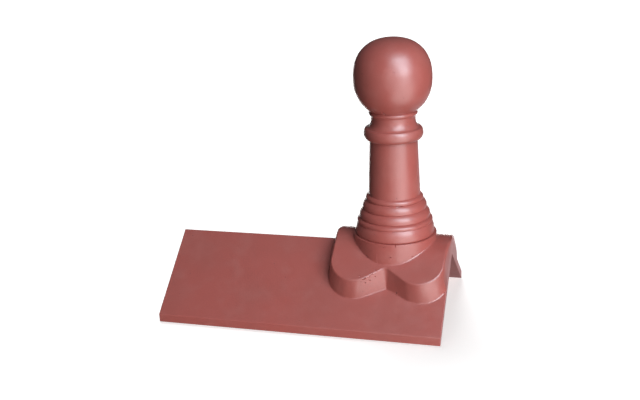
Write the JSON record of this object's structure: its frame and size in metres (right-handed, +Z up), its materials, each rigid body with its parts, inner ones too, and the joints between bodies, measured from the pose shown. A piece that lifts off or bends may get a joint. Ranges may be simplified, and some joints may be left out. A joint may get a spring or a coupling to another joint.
{
  "type": "roof finial",
  "caption": "Ball-topped roof finial with a collared shaft and a ribbed base, cast in one with the angle ridge tile it stands on.",
  "frame": {"origin": "on the ground under the middle of the tile, where its eaves stand", "axes": "+X along the ridge towards the finial's end, +Y across the ridge, +Z up along the finial"},
  "size_m": [0.45, 0.254, 0.4331],
  "materials": {
    "terracotta": "smooth satin, even red-brown, with small casting pits"
  },
  "bodies": {
    "root": {"ridge_finial": "terracotta"}
  },
  "joints": []
}
